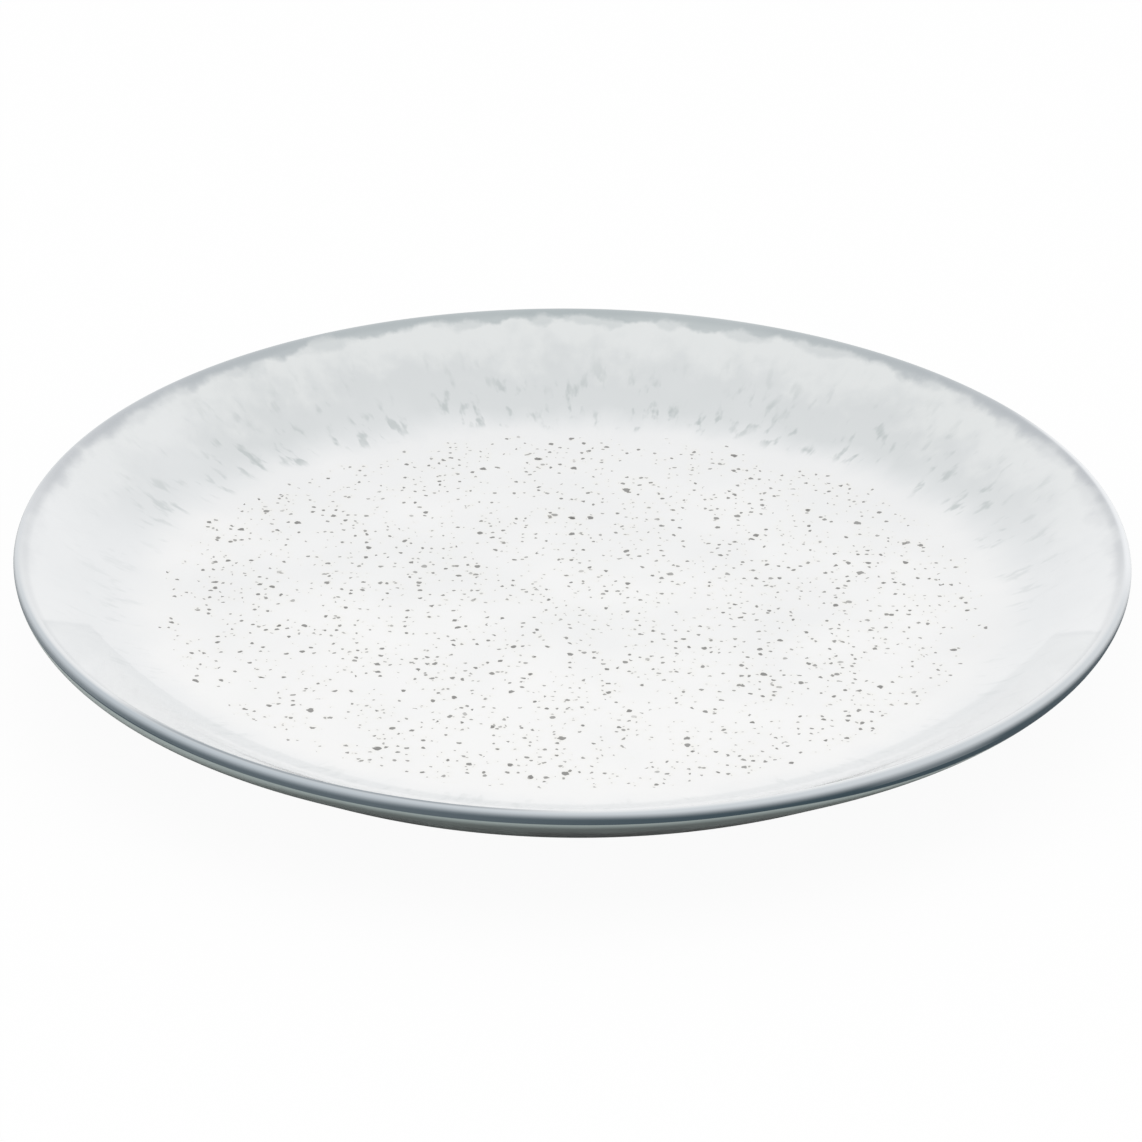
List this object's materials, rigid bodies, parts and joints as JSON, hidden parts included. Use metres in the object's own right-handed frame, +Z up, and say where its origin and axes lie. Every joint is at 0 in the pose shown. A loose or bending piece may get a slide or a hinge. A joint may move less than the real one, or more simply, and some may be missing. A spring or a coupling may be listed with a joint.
{
  "type": "dessert plate",
  "caption": "Round coupe dessert plate in glazed stoneware: a flat white speckled well, a sloping pale wall with a darker lip band, and a low unglazed foot ring to stand on.",
  "frame": {"origin": "middle of the foot ring's flat contact face, on the plate's axis, at the bottom of the bounding box", "axes": "+Z is up along the plate's axis, out of the well. X and Y lie in the ground plane; the plate is round, and the picture's camera looks along +Y from above"},
  "size_m": [0.2, 0.2, 0.0222],
  "materials": {
    "clay": "bare fired stoneware, matt",
    "white_glaze": "glossy white glaze with dark iron specks",
    "pale_glaze": "glossy pale blue-grey glaze, mottled",
    "slate_glaze": "glossy slate blue-grey glaze, ragged edge",
    "moss_glaze": "satin dark grey-green glaze, mottled"
  },
  "bodies": {
    "root": {"stoneware_body": "clay", "well_glaze": "white_glaze", "wall_glaze": "pale_glaze", "lip_glaze": "slate_glaze", "underside_glaze": "moss_glaze", "foot_recess_glaze": "moss_glaze"}
  },
  "joints": []
}
